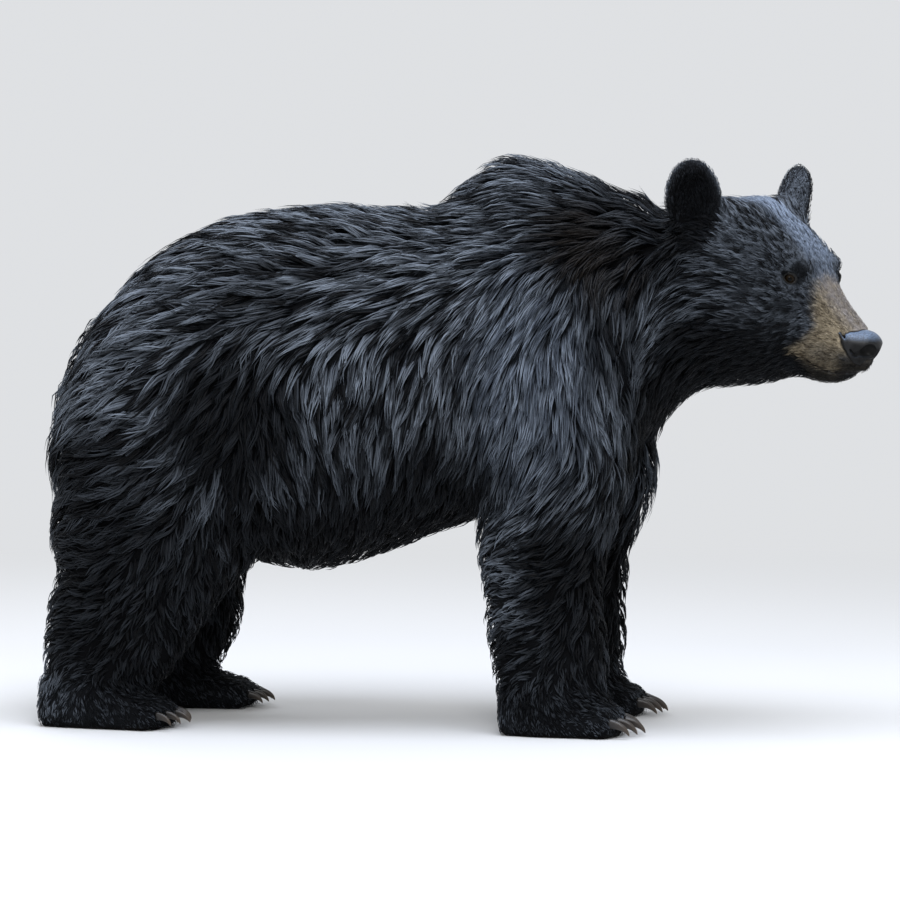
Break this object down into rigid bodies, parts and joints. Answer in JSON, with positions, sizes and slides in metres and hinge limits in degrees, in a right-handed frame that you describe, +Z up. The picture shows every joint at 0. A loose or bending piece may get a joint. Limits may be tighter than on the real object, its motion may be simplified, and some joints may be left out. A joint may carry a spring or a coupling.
{
  "type": "black bear",
  "caption": "Life-size still model of an adult black bear standing on all fours, head turned a little to its right.",
  "frame": {"origin": "on the floor, under the middle of the bear's overall box", "axes": "+X forward along the body as the bear stands, +Y to the bear's left, +Z up"},
  "size_m": [1.2605, 0.4688, 0.8569],
  "materials": {
    "fur": "long glossy black guard hair with a slate sheen",
    "muzzle_fur": "short close tan and grey-brown hair",
    "nose_skin": "damp pebbled black nose leather",
    "eye": "wet dark brown eye",
    "claw": "dark horn, satin, paler at the tip"
  },
  "bodies": {
    "root": {"trunk": "fur", "neck": "fur", "head": "fur", "muzzle": "muzzle_fur", "lower_jaw": "muzzle_fur", "nose": "nose_skin", "tail": "fur", "ear_right": "fur", "eye_right": "eye", "ear_left": "fur", "eye_left": "eye", "upper_leg_front_right": "fur", "lower_leg_front_right": "fur", "paw_front_right": "fur", "claw_front_right_1": "claw", "claw_front_right_2": "claw", "claw_front_right_3": "claw", "claw_front_right_4": "claw", "claw_front_right_5": "claw", "upper_leg_front_left": "fur", "lower_leg_front_left": "fur", "paw_front_left": "fur", "claw_front_left_1": "claw", "claw_front_left_2": "claw", "claw_front_left_3": "claw", "claw_front_left_4": "claw", "claw_front_left_5": "claw", "upper_leg_hind_right": "fur", "lower_leg_hind_right": "fur", "paw_hind_right": "fur", "claw_hind_right_1": "claw", "claw_hind_right_2": "claw", "claw_hind_right_3": "claw", "claw_hind_right_4": "claw", "claw_hind_right_5": "claw", "upper_leg_hind_left": "fur", "lower_leg_hind_left": "fur", "paw_hind_left": "fur", "claw_hind_left_1": "claw", "claw_hind_left_2": "claw", "claw_hind_left_3": "claw", "claw_hind_left_4": "claw", "claw_hind_left_5": "claw"}
  },
  "joints": []
}
